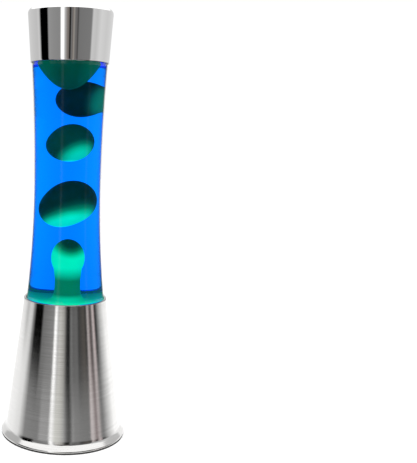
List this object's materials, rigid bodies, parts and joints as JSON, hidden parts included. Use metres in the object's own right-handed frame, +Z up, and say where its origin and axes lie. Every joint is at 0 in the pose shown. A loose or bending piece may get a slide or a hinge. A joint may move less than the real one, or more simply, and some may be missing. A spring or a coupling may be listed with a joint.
{
  "type": "lava lamp",
  "caption": "Free-standing wax lamp: waisted glass bottle of blue liquid with green wax, polished metal cap, brushed metal cone base with a bulb inside.",
  "frame": {"origin": "centre of the underside, on the table", "axes": "+Z up along the lamp's axis, +Y towards the cord's grommet at the back, +X to the right seen from the front"},
  "size_m": [0.1166, 0.1166, 0.395],
  "materials": {
    "steel_brushed": "satin",
    "chrome": "polished",
    "steel_plain": "satin",
    "zinc_screw": "satin",
    "rubber_black": "matte",
    "silicone": "matte",
    "bakelite": "gloss",
    "black_plastic": "matte",
    "white_plastic": "satin",
    "ceramic": "satin",
    "brass": "satin",
    "contact_bronze": "satin",
    "solder": "satin",
    "insulator_glass": "gloss",
    "bulb_glass": "gloss",
    "stem_glass": "gloss",
    "tungsten": "satin",
    "bottle_glass": "gloss",
    "liquid_blue": "gloss",
    "wax_green": "satin",
    "crown_steel": "satin",
    "sealing_white": "matte",
    "live_brown": "satin",
    "neutral_blue": "satin",
    "earth_green_yellow": "satin"
  },
  "bodies": {
    "base": {"base_shell": "steel_brushed", "foot_pads": "rubber_black", "bottom_plate": "steel_plain", "plate_lugs": "steel_plain", "plate_screws": "zinc_screw", "bottle_seat": "steel_plain", "seat_ring": "silicone", "holder_bracket": "steel_plain", "bracket_rivets": "zinc_screw", "holder_nipple": "brass", "holder_nut": "brass", "holder_cap": "bakelite", "holder_barrel": "bakelite", "holder_insert": "ceramic", "holder_terminals": "brass", "holder_sleeve": "brass", "holder_contact": "contact_bronze", "terminal_block": "white_plastic", "terminal_sleeves": "brass", "terminal_screws": "zinc_screw", "block_screw": "zinc_screw", "cord_clamp": "black_plastic", "clamp_screws": "zinc_screw", "cable_grommet": "rubber_black", "live_lead": "live_brown", "neutral_lead": "neutral_blue", "earth_lead": "earth_green_yellow", "earth_tag": "zinc_screw", "earth_screw": "zinc_screw"},
    "bulb_tip": {"bulb_contact": "solder"},
    "bulb": {"bulb_insulator": "insulator_glass", "bulb_screw_cap": "brass", "bulb_envelope": "bulb_glass", "bulb_stem": "stem_glass", "bulb_filament": "tungsten"},
    "bottle": {"glass_bottle": "bottle_glass", "liquid": "liquid_blue", "wax_pool": "wax_green", "heat_coil": "solder", "crown_cap": "crown_steel", "crown_seal": "sealing_white"},
    "wax_dome": {"wax_dome": "wax_green"},
    "wax_upper": {"wax_upper": "wax_green"},
    "wax_middle": {"wax_middle": "wax_green"},
    "wax_lower": {"wax_lower": "wax_green"},
    "cap": {"cap_shell": "chrome", "cap_liner": "black_plastic"}
  },
  "joints": [
    {"name": "bulb_rise", "type": "slide", "parent": "base", "child": "bulb_tip", "axis": [0, 0, 1], "range_m": [0, 0.0085]},
    {"name": "bulb_turn", "type": "hinge", "parent": "bulb_tip", "child": "bulb", "pos_m": [0, 0, 0], "axis": [0, 0, 1], "range_deg": [0, 1080]},
    {"name": "bottle_lift", "type": "slide", "parent": "base", "child": "bottle", "axis": [0, 0, 1], "range_m": [0, 0.15]},
    {"name": "cap_lift", "type": "slide", "parent": "bottle", "child": "cap", "axis": [0, 0, 1], "range_m": [0, 0.06]},
    {"name": "dome_float", "type": "slide", "parent": "bottle", "child": "wax_dome", "axis": [0, 0, 1], "range_m": [0, 0.003], "stiffness_N_per_m": 2, "springref_m": 0.1488, "deforming": ["liquid"]},
    {"name": "upper_float", "type": "slide", "parent": "bottle", "child": "wax_upper", "axis": [0, 0, 1], "range_m": [-0.0025, 0], "stiffness_N_per_m": 2, "springref_m": 0.0825, "deforming": ["liquid"]},
    {"name": "middle_float", "type": "slide", "parent": "bottle", "child": "wax_middle", "axis": [0, 0, 1], "range_m": [-0.008, 0.003], "stiffness_N_per_m": 2, "springref_m": 0.1077, "deforming": ["liquid"]},
    {"name": "lower_float", "type": "slide", "parent": "bottle", "child": "wax_lower", "axis": [0, 0, 1], "range_m": [-0.005, 0.006], "stiffness_N_per_m": 2, "springref_m": 0.1807, "deforming": ["liquid"]}
  ],
  "couplings": [
    {"joint": "bulb_rise", "follows": "bulb_turn", "m_per_rad": 0.00044882}
  ]
}
